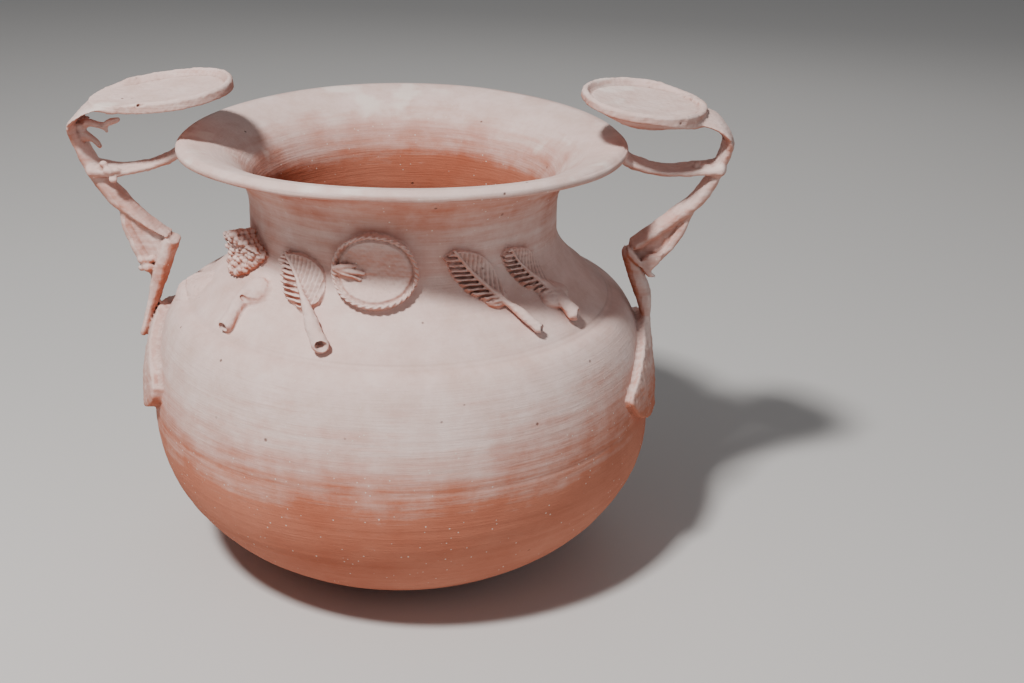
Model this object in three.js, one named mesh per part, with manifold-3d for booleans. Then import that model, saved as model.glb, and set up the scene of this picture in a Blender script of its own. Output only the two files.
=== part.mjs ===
// A wide terracotta krater with trumpet rim, two kinked strap handles that each carry a
// saucer above the rim, and clay ornaments laid on its neck and shoulder.
// Millimetres, +Z up, origin at the centre of the foot. The front faces -Y, the handles are on X.

import * as THREE from "three";
import { mergeVertices } from "three/addons/utils/BufferGeometryUtils.js";
import Module from "manifold-3d";

// Body
const rimHeight = 455;
const rimRadius = 227;
const rimDroop = 7;
const trumpetReach = 26;
const trumpetRise = 34;
const wallThickness = 11;
const neckRadius = 158;
const neckTop = 384;
const neckBottom = 356;
const shoulderRadius = 192;
const shoulderHeight = 312;
const carinationRadius = 222;
const carinationHeight = 287;
const bodyRadius = 264;
const bodyWidestHeight = 170;
const footRadius = 92;
const footHeight = 7;
const footBevel = 3;
const bodyFacets = 48;
const outsideSteps = 22;
const insideSteps = 12;

// Handles: the plate lies on the belly, the kink stands above the carination, and the bend,
// the bridge and the saucer are placed from the rim.
const plateHeight = 217;
const plateHalfWidth = 114;
const plateHalfHeight = 47;
const plateProud = 9;
const strapWidth = 32;
const strapThickness = 12;
const legFootRise = 23;
const kinkRise = 49;
const bendDrop = 9;
const bridgeDrop = 40;
const bridgeWidth = 44;
const bridgeThickness = 12;
const strandThickness = 14;
const strandBulge = 13;
const webThickness = 9;
const knobRadius = 11;

// Saucers
const saucerRise = 43;
const saucerDepth = 16;
const saucerLip = 4;
const saucerEdge = 9;
const saucerFacets = 24;

// Ornaments on the neck and shoulder
const medallionRadius = 44;
const medallionRope = 5;
const medallionProud = 7;
const frondSkirt = 22;
const frondHalfWidth = 25;
const frondProud = 5;
const frondRibs = 10;
const frondRibDepth = 2.5;
const stemLength = 58;
const stemThickness = 14;
const grapeRadius = 8.5;
const grapeRows = 4;
const sink = 6;

const degrees = Math.PI / 180;
const wasm = await Module();
wasm.setup();

const terracotta = new THREE.MeshStandardMaterial({ color: 0xd9a594, roughness: 0.95, metalness: 0 });

// Turns a closed three.js geometry into a solid for joining and cutting.
function solid(geometry) {
  const bare = geometry.clone();
  bare.deleteAttribute("normal");
  bare.deleteAttribute("uv");
  const merged = mergeVertices(bare, 1e-3);
  return new wasm.Manifold(
    new wasm.Mesh({
      numProp: 3,
      vertProperties: new Float32Array(merged.attributes.position.array),
      triVerts: new Uint32Array(merged.index.array),
    }),
  );
}

function toGeometry(body) {
  const mesh = body.getMesh();
  const geometry = new THREE.BufferGeometry();
  geometry.setAttribute("position", new THREE.BufferAttribute(new Float32Array(mesh.vertProperties), 3));
  geometry.setIndex(new THREE.BufferAttribute(new Uint32Array(mesh.triVerts), 1));
  geometry.computeVertexNormals();
  return geometry;
}

function join(solids) {
  return solids.reduce((whole, next) => whole.add(next));
}

// Moves each vertex of a geometry to the place that a function gives for it.
function reshape(geometry, place) {
  const position = geometry.attributes.position;
  const point = new THREE.Vector3();
  for (let i = 0; i < position.count; i += 1) {
    place(point.fromBufferAttribute(position, i));
    position.setXYZ(i, point.x, point.y, point.z);
  }
  return geometry;
}

// Outside of the wall, as distance from the axis and height, from the foot up to the lip.
function wallCurve() {
  const path = new THREE.Path();
  const bellyWidth = bodyRadius - footRadius;
  path.absellipse(footRadius, bodyWidestHeight, bellyWidth, bodyWidestHeight - footHeight, -Math.PI / 2, 0);
  path.absellipse(
    carinationRadius,
    bodyWidestHeight,
    bodyRadius - carinationRadius,
    carinationHeight - bodyWidestHeight,
    0,
    Math.PI / 2,
  );
  path.lineTo(shoulderRadius, shoulderHeight);
  path.quadraticCurveTo(neckRadius + 4, shoulderHeight + 21, neckRadius, neckBottom);
  path.lineTo(neckRadius, neckTop);
  const lipUnderside = rimHeight - wallThickness;
  const lipRoot = rimRadius - wallThickness / 2;
  const bellRadius = neckRadius + trumpetReach;
  path.bezierCurveTo(neckRadius, neckTop + trumpetRise, bellRadius, lipUnderside - 3, lipRoot, lipUnderside);
  return path;
}

const wall = wallCurve();
const wallLength = wall.getLength();

// Length along the wall from the foot to a given height.
function lengthAtHeight(height) {
  let low = 0;
  let high = 1;
  while (high - low > 1e-5) {
    const middle = (low + high) / 2;
    if (wall.getPointAt(middle).y < height) low = middle;
    else high = middle;
  }
  return low * wallLength;
}

// Point at a length along the wall, moved out of the wall by a distance.
function wallPoint(length, proud) {
  const t = THREE.MathUtils.clamp(length / wallLength, 0, 1);
  const point = wall.getPointAt(t);
  const tangent = wall.getTangentAt(t);
  return new THREE.Vector2(point.x + tangent.y * proud, point.y - tangent.x * proud);
}

// Points along the wall at a distance out of it, in a number of even steps.
function wallLine(steps, proud) {
  return Array.from({ length: steps + 1 }, (_, i) => wallPoint((i / steps) * wallLength, proud));
}

// Hollow body: the outside, round the lip, and back down the inside at the wall's thickness.
function makeBody() {
  const outside = wallLine(outsideSteps, 0);
  const inside = wallLine(insideSteps, -wallThickness);
  const end = wallPoint(wallLength, -wallThickness / 2);
  const lip = [];
  for (const turn of [-50, 0, 50]) {
    const reach = (wallThickness / 2) * Math.cos(turn * degrees);
    lip.push(new THREE.Vector2(end.x + reach, end.y + (wallThickness / 2) * Math.sin(turn * degrees)));
  }
  const profile = [
    new THREE.Vector2(0, 0),
    new THREE.Vector2(footRadius - footBevel, 0),
    new THREE.Vector2(footRadius, footBevel),
    ...outside,
    ...lip,
    ...inside.reverse(),
    new THREE.Vector2(0, footHeight + wallThickness),
  ];
  const lathe = new THREE.LatheGeometry(profile, bodyFacets).rotateX(Math.PI / 2);
  return reshape(lathe, droopRim);
}

// The rim sags a little towards the two handles.
function droopRim(point) {
  const radius = Math.hypot(point.x, point.y);
  const share = THREE.MathUtils.smoothstep(point.z, neckTop, rimHeight);
  const towardsHandles = radius > 0 ? (point.x / radius) ** 2 : 0;
  point.z -= rimDroop * share * towardsHandles;
}

// Closed bar along a curve that is drawn flat in X and Y: inPlane and outOfPlane give its
// full sizes in the drawing's plane and across it, at a share of the curve's length.
function bar(points, inPlane, outOfPlane, steps, sides = 10, squareness = 0.7) {
  const curve = new THREE.CatmullRomCurve3(points, false, "centripetal");
  const tube = new THREE.CylinderGeometry(1, 1, 1, sides, steps);
  return reshape(tube, (point) => {
    const share = THREE.MathUtils.clamp(point.y + 0.5, 0, 1);
    const centre = curve.getPointAt(share);
    const tangent = curve.getTangentAt(share).setZ(0).normalize();
    const across = (Math.sign(point.x) * Math.abs(point.x) ** squareness * inPlane(share)) / 2;
    const out = (Math.sign(point.z) * Math.abs(point.z) ** squareness * outOfPlane(share)) / 2;
    point.set(centre.x + tangent.y * across, centre.y - tangent.x * across, centre.z + out);
  });
}

const at = (x, y, z = 0) => new THREE.Vector3(x, y, z);

// Lays a geometry drawn in X across, Y up and Z out on the wall, round a place on it that is
// given by an angle from the front and a height. Nothing sinks deeper than the clay's bed.
function layOnWall(geometry, angle, height, turn = 0) {
  const start = lengthAtHeight(height);
  const reference = wallPoint(start, 0).x;
  geometry.rotateZ(turn * degrees);
  return reshape(geometry, (point) => {
    const place = wallPoint(start + point.y, Math.max(point.z, -sink));
    const round = angle * degrees + point.x / reference;
    point.set(place.x * Math.sin(round), -place.x * Math.cos(round), place.y);
  });
}

// Low pillow with a firm edge, half sizes one by one until it is scaled.
function pillow(halfWidth, halfHeight, proud, facets) {
  const profile = [
    new THREE.Vector2(0, -sink),
    new THREE.Vector2(1, -sink),
    new THREE.Vector2(1, 0.4 * proud),
    new THREE.Vector2(0.93, 0.85 * proud),
    new THREE.Vector2(0.6, proud),
    new THREE.Vector2(0, proud),
  ];
  return new THREE.LatheGeometry(profile, facets).rotateX(Math.PI / 2).scale(halfWidth, halfHeight, 1);
}

// Place part of the way from one point to another, by separate shares across and up.
const between = (from, to, across, up = across) =>
  at(from.x + (to.x - from.x) * across, from.y + (to.y - from.y) * up);

// Named places of a handle, drawn in X out from the axis and Y up.
function handlePlaces(handle) {
  const footHeight = plateHeight + legFootRise;
  const foot = at(wallPoint(lengthAtHeight(footHeight), handle.legProud).x, footHeight);
  const kink = at(carinationRadius + handle.kinkReach, carinationHeight + kinkRise);
  const bend = at(rimRadius + handle.bendReach, rimHeight - bendDrop);
  const saucer = at(rimRadius + handle.saucerReach, rimHeight + saucerRise);
  const tongue = at(saucer.x + handle.saucerRadius - 6, saucer.y - saucerDepth);
  const strandTop = between(kink, bend, 0.44, 0.33);
  const strandEnd = between(foot, kink, 0.5);
  return { foot, kink, bend, saucer, tongue, strandTop, strandEnd };
}

// Saucer: a shallow dish with a raised lip and a conical underside, centred on its lip.
function makeSaucer(radius) {
  const profile = [
    new THREE.Vector2(0, -saucerDepth),
    new THREE.Vector2(0.4 * radius, -saucerDepth + 1),
    new THREE.Vector2(radius - 3, saucerLip - 11),
    new THREE.Vector2(radius, saucerLip - 7),
    new THREE.Vector2(radius, saucerLip - 2),
    new THREE.Vector2(radius - 3, saucerLip),
    new THREE.Vector2(radius - saucerEdge + 3, saucerLip - 1),
    new THREE.Vector2(radius - saucerEdge, saucerLip - 5),
    new THREE.Vector2(0, wallThickness - saucerDepth),
  ];
  return new THREE.LatheGeometry(profile, saucerFacets).rotateX(Math.PI / 2);
}

// Middle line of the strap, from the plate to the kink, out to the bend and in to the saucer.
function strapPoints(handle) {
  const { foot, kink, bend, tongue } = handlePlaces(handle);
  return [
    foot,
    between(foot, kink, 0.3, 0.5),
    between(foot, kink, 0.58, 0.7),
    between(foot, kink, 0.9, 0.88),
    kink,
    between(kink, bend, 0.06),
    between(kink, bend, 0.5, 0.39),
    between(kink, bend, 0.85, 0.69),
    bend,
    between(bend, tongue, 0.19, 0.5),
    between(bend, tongue, 0.52, 0.86),
    tongue,
    tongue.clone().setX(tongue.x - strapThickness),
  ];
}

// Place where the strap passes a height between its kink and its bend.
function strapAtHeight(handle, height) {
  const line = new THREE.CatmullRomCurve3(strapPoints(handle), false, "centripetal").getPoints(400);
  return line.find((point) => point.y >= height);
}

// Strap that widens to a tongue under the saucer.
function makeStrap(handle) {
  const widen = (share) => THREE.MathUtils.smoothstep(share, 0.74, 0.97);
  const width = (share) => strapWidth + (handle.tongueWidth - strapWidth) * widen(share);
  const thickness = (share) => strapThickness * (1 - 0.25 * widen(share));
  return bar(strapPoints(handle), thickness, width, 26, 8);
}

// Point of the second strand, which bulges outwards on its way down.
function strandPoint(handle, share) {
  const { strandTop, strandEnd } = handlePlaces(handle);
  const point = between(strandTop, strandEnd, share);
  return point.setX(point.x + strandBulge * Math.sin(Math.PI * share));
}

// Second strand: leaves the underside of the strap and crosses outside the leg.
function makeStrand(handle) {
  const points = [0, 0.3, 0.55, 0.8, 1].map((share) => strandPoint(handle, share));
  const swell = (share) => strandThickness * (0.75 + 0.25 * Math.sin(Math.PI * share));
  return bar(points, swell, (share) => 1.2 * swell(share), 6, 6);
}

// Thin web that fills the corner between the strap, the leg and the second strand.
function makeWeb(handle) {
  const { kink, strandTop } = handlePlaces(handle);
  const corners = [kink, strandTop, strandPoint(handle, 0.45), strandPoint(handle, 0.9)];
  const outline = new THREE.Shape(corners.map((corner) => new THREE.Vector2(corner.x, corner.y)));
  const web = new THREE.ExtrudeGeometry(outline, { depth: webThickness, bevelEnabled: false });
  return web.translate(0, 0, -webThickness / 2);
}

// Bridge from the rim's edge out to the strap, below the saucer.
function makeBridge(handle) {
  const rimEdge = at(rimRadius - 0.8 * wallThickness, rimHeight - rimDroop - 0.8 * wallThickness);
  const strapSide = strapAtHeight(handle, rimHeight - bridgeDrop);
  const points = [
    rimEdge,
    between(rimEdge, strapSide, 0.22, 0.75),
    between(rimEdge, strapSide, 0.5, 0.94),
    strapSide,
  ];
  const thickness = (share) => bridgeThickness * (1 + 0.25 * (2 * share - 1) ** 2);
  return bar(points, thickness, () => bridgeWidth, 6, 8);
}

// Lump of clay on the near side of the bridge, where it meets the strap.
function makeKnob(handle) {
  const root = strapAtHeight(handle, rimHeight - bridgeDrop);
  const out = root.x - 1.5 * knobRadius;
  return new THREE.SphereGeometry(knobRadius, 8, 5).translate(out, root.y - 3, knobRadius - 1);
}

// Attachment plate: an oval that narrows upwards, as a fan does, to the foot of the leg.
function makePlate() {
  return reshape(pillow(plateHalfWidth, plateHalfHeight, plateProud, 24), (point) => {
    const rise = Math.max(0, point.y / plateHalfHeight);
    point.x *= 1 - 0.75 * rise ** 1.2;
  });
}

// One handle, drawn in X out and Y up, then stood up and turned to its side.
function makeHandle(handle) {
  const { saucer } = handlePlaces(handle);
  const dish = makeSaucer(handle.saucerRadius)
    .rotateX((handle.saucerLean - 90) * degrees)
    .rotateZ(-handle.saucerTilt * degrees)
    .translate(saucer.x, saucer.y - saucerLip, 0);
  const makers = [makeStrap, makeStrand, makeWeb, makeBridge, makeKnob];
  const drawn = [...makers.map((make) => make(handle)), dish];
  const stood = drawn.map((piece) => solid(piece.rotateX(Math.PI / 2).rotateZ(handle.turn * degrees)));
  return join([...stood, solid(layOnWall(makePlate(), handle.angle, plateHeight))]);
}

const leftHandle = {
  angle: -90,
  turn: 180,
  legProud: 8,
  kinkReach: 15,
  bendReach: 104,
  saucerReach: 1,
  saucerRadius: 60,
  saucerTilt: 6,
  saucerLean: -5,
  tongueWidth: 100,
};
const rightHandle = {
  angle: 90,
  turn: 0,
  legProud: 4,
  kinkReach: 9,
  bendReach: 99,
  saucerReach: 13,
  saucerRadius: 64,
  saucerTilt: 6,
  saucerLean: 5,
  tongueWidth: 70,
};

// Round medallion with a rope round it and a folded leaf inside.
function makeMedallion(angle, height) {
  const disc = pillow(medallionRadius, medallionRadius, medallionProud, 26);
  const rope = new THREE.TorusGeometry(medallionRadius - 1, medallionRope, 6, 26);
  rope.translate(0, 0, medallionProud - 1);
  const leaf = new THREE.SphereGeometry(1, 8, 6)
    .scale(21, 10, 8)
    .rotateZ(-25 * degrees)
    .translate(-17, 6, medallionProud);
  return [disc, rope, leaf].map((piece) => solid(layOnWall(piece, angle, height)));
}

// Palm frond: a ribbed blade whose ribs slant up from the midrib to both edges, on a thick
// stem. Its place on the wall is where the blade meets the stem.
function makeFrond(angle, height, turn, length) {
  const blade = new THREE.BoxGeometry(2, 1, 2, 2, 2 * frondRibs);
  reshape(blade, (point) => {
    const share = point.y + 0.5;
    const half = frondHalfWidth * Math.sin(Math.PI * (0.12 + 0.8 * share)) ** 0.8;
    const ridge = Math.round(share * 2 * frondRibs) % 2 === 0;
    const top = frondProud - (ridge ? 0 : frondRibDepth) - 2 * Math.abs(point.x);
    point.y = share * (length + frondSkirt) - frondSkirt + 0.6 * half * Math.abs(point.x);
    point.x *= half;
    point.z = point.z > 0 ? top : -sink;
  });
  const middle = at(1, -stemLength / 2);
  const midrib = bar(
    [at(0, length + 3), at(0, 0.4 * length), at(0, -0.15 * stemLength), middle, at(2, -stemLength)],
    (share) => 4 + (stemThickness - 4) * share ** 1.5,
    (share) => stemThickness * (1 + share / 2),
    7,
    6,
    1,
  );
  return [blade, midrib].map((piece) => solid(layOnWall(piece, angle, height, turn)));
}

// Bunch of grapes, wide at the top and one grape wide at its tip.
function makeGrapes(angle, height, turn) {
  const core = new THREE.SphereGeometry(1, 8, 6).scale(17, 24, 9);
  const grapes = [];
  for (let row = 0; row < grapeRows; row += 1) {
    const count = Math.max(1, grapeRows - 1 - Math.floor(0.9 * row));
    for (let i = 0; i < count; i += 1) {
      const across = (i - (count - 1) / 2) * 1.6 * grapeRadius;
      const up = (0.5 * grapeRows - row - 0.4) * 1.5 * grapeRadius;
      const out = 7 - 0.012 * across * across;
      grapes.push(new THREE.OctahedronGeometry(grapeRadius, 1).translate(across, up, out));
    }
  }
  return [core, ...grapes].map((piece) => solid(layOnWall(piece, angle, height, turn)));
}

// Bud on a stalk: a tapered form whose stalk ends in a cut.
function makeBud(angle, height, turn, scale) {
  const stalk = bar(
    [at(0, 30), at(3, 12), at(0, -8), at(-2, -34)],
    (share) => 22 - 12 * share,
    () => 16,
    5,
    7,
    1,
  );
  const head = new THREE.SphereGeometry(1, 8, 6).scale(15, 20, 10).translate(0, 22, 1);
  const sized = [stalk, head].map((piece) => piece.scale(scale, scale, scale));
  return sized.map((piece) => solid(layOnWall(piece, angle, height, turn)));
}

function makeOrnaments() {
  return [
    ...makeMedallion(-4, 360),
    ...makeFrond(-29, 322, 33, 50),
    ...makeFrond(33, 328, 32, 58),
    ...makeGrapes(-67, 337, -14),
    ...makeBud(-49, 303, -14, 0.9),
    ...makeBud(55, 322, 24, 1.3),
    ...makeBud(-92, 305, 0, 1),
  ];
}

const vaseSolid = join([
  solid(makeBody()),
  makeHandle(leftHandle),
  makeHandle(rightHandle),
  ...makeOrnaments(),
]);

const vase = new THREE.Mesh(toGeometry(vaseSolid), terracotta);
vase.name = "vase";

const krater = new THREE.Group();
krater.add(vase);

export default krater;
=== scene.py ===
"""A wide terracotta krater with two kinked strap handles, fired as one piece.

The wall is a fine grid with its throwing marks. The handles and the ornaments are clay forms
that are joined softly as distance fields and drawn as closed meshes. Metres, +Z up, the front
faces -Y and the handles are on X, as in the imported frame.
"""

import math

import bpy
import numpy as np
from mathutils import Matrix, Vector


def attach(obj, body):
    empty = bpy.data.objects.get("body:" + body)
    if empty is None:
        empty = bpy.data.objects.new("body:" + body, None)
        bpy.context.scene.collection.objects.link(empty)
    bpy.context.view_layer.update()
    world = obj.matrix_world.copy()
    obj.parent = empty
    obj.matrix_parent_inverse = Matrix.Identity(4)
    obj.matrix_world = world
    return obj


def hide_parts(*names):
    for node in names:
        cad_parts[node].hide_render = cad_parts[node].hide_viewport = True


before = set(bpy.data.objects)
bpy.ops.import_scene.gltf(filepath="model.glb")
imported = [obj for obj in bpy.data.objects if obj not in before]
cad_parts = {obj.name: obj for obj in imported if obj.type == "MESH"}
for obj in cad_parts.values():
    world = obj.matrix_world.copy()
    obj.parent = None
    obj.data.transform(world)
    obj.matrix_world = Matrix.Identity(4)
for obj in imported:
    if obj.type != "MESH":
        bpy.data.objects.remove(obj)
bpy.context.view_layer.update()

MM = 0.001

# Wall of the vessel
RIM_HEIGHT = 455 * MM
RIM_RADIUS = 227 * MM
RIM_DROOP = 7 * MM
TRUMPET_REACH = 26 * MM
TRUMPET_RISE = 34 * MM
WALL = 11 * MM
NECK_RADIUS = 158 * MM
NECK_TOP = 384 * MM
NECK_BOTTOM = 356 * MM
SHOULDER_RADIUS = 192 * MM
SHOULDER_HEIGHT = 312 * MM
CARINATION_RADIUS = 222 * MM
CARINATION_HEIGHT = 287 * MM
BODY_RADIUS = 264 * MM
BODY_WIDEST = 170 * MM
FOOT_RADIUS = 92 * MM
FOOT_HEIGHT = 7 * MM
FOOT_BEVEL = 3 * MM
# Incised rings: height in metres, share of the waver, half width and depth in millimetres
INCISED_RINGS = ((0.291, 1, 1.6, 1.0), (0.180, 1.5, 1.6, 0.8), (0.322, 1, 1.8, 0.3))

# Handles
PLATE_HEIGHT = 217 * MM
PLATE_HALF_WIDTH = 124 * MM
PLATE_HALF_HEIGHT = 47 * MM
STRAP_WIDTH = 30 * MM
STRAP_SPLIT = 457 * MM
BRIDGE_WIDTH = 44 * MM
BRIDGE_THICKNESS = 12 * MM
SAUCER_LIP = 5.2 * MM
WEB_THICKNESS = 10 * MM

# Grids
AROUND = 288
OUTSIDE_ROWS = 225
INSIDE_ROWS = 84
CLAY_STEP = 1.5 * MM
SAUCER_STEP = 1.05 * MM
RELIEF_STEP = 0.8 * MM

# Camera, in the photo's frame
CAMERA_PLACE = (0.1135, -1.400, 0.802)
CAMERA_PITCH = 22.3
CAMERA_ROLL = 1.38
CAMERA_LENS = 50.0
SENSOR_WIDTH = 36.0


# Curves and noise


def smooth(low, high, value):
    share = np.clip((value - low) / (high - low), 0, 1)
    return share * share * (3 - 2 * share)


def spline(points, count):
    """Even points along a Catmull-Rom curve through the given ones."""
    points = np.array(points, float)
    padded = np.vstack([2 * points[0] - points[1], points, 2 * points[-1] - points[-2]])
    pieces = []
    for a, b, c, d in zip(padded, padded[1:], padded[2:], padded[3:]):
        t = np.linspace(0, 1, 24, endpoint=False)[:, None]
        pieces.append(b + 0.5 * t * (c - a + t * (2 * a - 5 * b + 4 * c - d + t * (3 * (b - c) + d - a))))
    line = np.vstack(pieces + [points[-1:]])
    length = np.concatenate([[0], np.cumsum(np.linalg.norm(np.diff(line, axis=0), axis=1))])
    even = np.linspace(0, length[-1], count)
    return np.column_stack([np.interp(even, length, line[:, i]) for i in range(line.shape[1])])


def lumps(points, wavelength, seed, waves=18):
    """Smooth noise of about unit size at 3-D points, with lumps about a wavelength apart."""
    chance = np.random.default_rng(seed)
    direction = chance.normal(size=(waves, 3))
    direction /= np.linalg.norm(direction, axis=1)[:, None]
    pace = 2 * math.pi / (wavelength * chance.uniform(0.65, 1.6, waves))
    phase = chance.uniform(0, 2 * math.pi, waves)
    total = np.zeros(len(points))
    for i in range(waves):
        total += np.sin(points @ (direction[i] * pace[i]) + phase[i])
    return total * math.sqrt(2 / waves)


def rings(angle, length, wavelength, wander, seed, waves=7):
    """Uneven rings round the pot, which wander up and down and fade in and out."""
    chance = np.random.default_rng(seed)
    total = np.zeros(np.broadcast(angle, length).shape)
    for _ in range(waves):
        pace = 2 * math.pi / (wavelength * chance.uniform(0.6, 1.7))
        a, b, c, d = chance.uniform(0, 2 * math.pi, 4)
        drift = wander * (np.sin(angle + a) + 0.5 * np.sin(2 * angle + b) + 0.3 * np.sin(5 * angle + c))
        fade = 0.55 + 0.45 * np.sin(2 * angle + 25 * length / 0.1 * 0.3 + d)
        total += fade * np.sin(pace * (length + drift) + d)
    return total / math.sqrt(waves / 2)


# Wall


def wall_curve():
    """Outside of the wall from the foot's edge to the lip, as distance from the axis and height."""
    turn = np.linspace(-math.pi / 2, 0, 160)
    belly = np.column_stack(
        [
            FOOT_RADIUS + (BODY_RADIUS - FOOT_RADIUS) * np.cos(turn),
            BODY_WIDEST + (BODY_WIDEST - FOOT_HEIGHT) * np.sin(turn),
        ]
    )
    turn = np.linspace(0, math.pi / 2, 120)[1:]
    upper = np.column_stack(
        [
            CARINATION_RADIUS + (BODY_RADIUS - CARINATION_RADIUS) * np.cos(turn),
            BODY_WIDEST + (CARINATION_HEIGHT - BODY_WIDEST) * np.sin(turn),
        ]
    )
    share = np.linspace(0, 1, 60)[1:, None]
    carination = np.array([CARINATION_RADIUS, CARINATION_HEIGHT])
    shoulder = np.array([SHOULDER_RADIUS, SHOULDER_HEIGHT])
    slope = carination + (shoulder - carination) * share
    hollow = np.array([NECK_RADIUS + 4 * MM, SHOULDER_HEIGHT + 21 * MM])
    neck_low = np.array([NECK_RADIUS, NECK_BOTTOM])
    cove = (1 - share) ** 2 * shoulder + 2 * share * (1 - share) * hollow + share**2 * neck_low
    neck_high = np.array([NECK_RADIUS, NECK_TOP])
    neck = neck_low + (neck_high - neck_low) * share
    under = RIM_HEIGHT - WALL
    bell = [
        neck_high,
        np.array([NECK_RADIUS, NECK_TOP + TRUMPET_RISE]),
        np.array([NECK_RADIUS + TRUMPET_REACH, under - 3 * MM]),
        np.array([RIM_RADIUS - WALL / 2, under]),
    ]
    share = np.linspace(0, 1, 140)[1:, None]
    left = 1 - share
    trumpet = left**3 * bell[0] + 3 * left**2 * share * bell[1]
    trumpet = trumpet + 3 * left * share**2 * bell[2] + share**3 * bell[3]
    line = np.vstack([belly, upper, slope, cove, neck, trumpet])
    length = np.concatenate([[0], np.cumsum(np.linalg.norm(np.diff(line, axis=0), axis=1))])
    even = np.linspace(0, length[-1], 1200)
    return even, np.column_stack([np.interp(even, length, line[:, 0]), np.interp(even, length, line[:, 1])])


LENGTHS, CURVE = wall_curve()
WALL_LENGTH = LENGTHS[-1]
TANGENTS = np.gradient(CURVE, LENGTHS, axis=0)
TANGENTS /= np.linalg.norm(TANGENTS, axis=1)[:, None]
WINDOW = np.hanning(25) / np.hanning(25).sum()
SOFTENED = [np.convolve(np.pad(TANGENTS[:, i], 12, "edge"), WINDOW, "valid") for i in range(2)]
NORMALS = np.column_stack([SOFTENED[1], -SOFTENED[0]])


def wall_place(length, proud):
    """Distance from the axis and height of points along the wall and out of it."""
    across = np.interp(length, LENGTHS, CURVE[:, 0])
    height = np.interp(length, LENGTHS, CURVE[:, 1])
    out_across = np.interp(length, LENGTHS, NORMALS[:, 0])
    out_height = np.interp(length, LENGTHS, NORMALS[:, 1])
    return across + out_across * proud, height + out_height * proud


def length_at(height):
    return float(np.interp(height, CURVE[:, 1], LENGTHS))


def droop(angle, height):
    """How far the rim sags towards the handles at an angle from the front."""
    return RIM_DROOP * smooth(NECK_TOP, RIM_HEIGHT, height) * np.sin(angle) ** 2


def squeeze(angle, height):
    """How far the thrown wall is out of round at its right side."""
    band = smooth(120 * MM, 190 * MM, height) * (1 - smooth(270 * MM, 330 * MM, height))
    return 5 * MM * band * np.clip(np.sin(angle), 0, 1) ** 3


def round_pot(angle, across, height):
    """3-D points from an angle from the front, distance from the axis and height."""
    across = across - squeeze(angle, height)
    height = height - droop(angle, height)
    return np.stack(np.broadcast_arrays(across * np.sin(angle), -across * np.cos(angle), height), axis=-1)


def unevenness(angle, length):
    """Broad unevenness of the thrown wall: it only draws in from the true outline."""
    flat = np.sin(2 * angle + 0.7) + 0.6 * np.sin(3 * angle + 2.0 + 6 * length)
    flat = flat + 0.5 * np.sin(7 * length / 0.1)
    return -1.3 * MM + 0.4 * MM * flat


def incised(length, at, width, depth):
    return -depth * np.exp(-(((length - at) / width) ** 2))


def outside_marks(angle, length):
    """Throwing marks, turning lines and the incised rings on the outside."""
    upper = smooth(length_at(0.07), length_at(0.19), length)
    marks = 0.34 * MM * (1 - 0.82 * upper) * rings(angle, length, 9 * MM, 1.6 * MM, 11)
    marks = marks + 0.15 * MM * (1 - 0.6 * upper) * rings(angle, length, 4.2 * MM, 0.8 * MM, 12)
    waver = 1.2 * MM * np.sin(2 * angle + 0.4)
    for height, share, width, depth in INCISED_RINGS:
        marks = marks + incised(length, length_at(height) + share * waver, width * MM, depth * MM)
    return marks


def inside_marks(angle, length):
    broad = 0.55 * MM * rings(angle, length, 15 * MM, 2.5 * MM, 21)
    return broad + 0.2 * MM * rings(angle, length, 6 * MM, 1 * MM, 22)


def wall_grid():
    """Rows of points round the pot: foot, outside, lip, inside and floor."""
    angle = np.linspace(0, 2 * math.pi, AROUND, endpoint=False)
    foot = [(share * (FOOT_RADIUS - FOOT_BEVEL), 0.0) for share in (0.25, 0.5, 0.75, 0.9, 1)]
    foot += [(FOOT_RADIUS - 0.4 * FOOT_BEVEL, 0.8 * MM), (FOOT_RADIUS, FOOT_BEVEL)]
    rows = [round_pot(angle, across, height) for across, height in foot]
    for length in np.linspace(0, WALL_LENGTH, OUTSIDE_ROWS):
        calm = smooth(0, 20 * MM, length)
        proud = calm * (unevenness(angle, length) + outside_marks(angle, length))
        rows.append(round_pot(angle, *wall_place(length, proud)))
    end_across, end_height = wall_place(WALL_LENGTH, -WALL / 2)
    edge = 0.7 * MM * rings(angle, 0 * angle, 30 * MM, 12 * MM, 31)
    for turn in np.radians([-66, -42, -18, 6, 30, 54, 76]):
        reach = WALL / 2 * (1 + 0.06 * np.sin(9 * angle + turn)) - 0.6 * MM
        flat = 0.86 * np.sign(math.sin(turn)) * abs(math.sin(turn)) ** 0.7
        across = end_across + reach * math.cos(turn) ** 0.7 + edge - 0.8 * MM
        rows.append(round_pot(angle, across, end_height + reach * flat))
    for length in np.linspace(WALL_LENGTH, 0, INSIDE_ROWS):
        proud = -WALL + unevenness(angle, length) * 0.3 + inside_marks(angle, length)
        rows.append(round_pot(angle, *wall_place(length, proud)))
    floor = FOOT_HEIGHT + WALL
    for share in (0.97, 0.8, 0.6, 0.4, 0.2):
        wave = 0.6 * MM * math.sin(40 * share)
        rows.append(round_pot(angle, share * (FOOT_RADIUS - 2 * MM), floor + wave))
    return rows, floor


def make_wall():
    rows, floor = wall_grid()
    points = np.vstack(rows + [[[0, 0, 0]], [[0, 0, floor]]])
    foot, middle = len(points) - 2, len(points) - 1
    faces = []
    ring = np.arange(AROUND)
    after = (ring + 1) % AROUND
    for row in range(len(rows) - 1):
        low, high = row * AROUND, (row + 1) * AROUND
        faces.append(np.column_stack([low + ring, low + after, high + after, high + ring]))
    quads = np.vstack(faces).tolist()
    last = (len(rows) - 1) * AROUND
    quads += [[foot, int(after[i]), int(ring[i])] for i in range(AROUND)]
    quads += [[middle, last + int(ring[i]), last + int(after[i])] for i in range(AROUND)]
    return new_piece("wall", points, quads)


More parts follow.
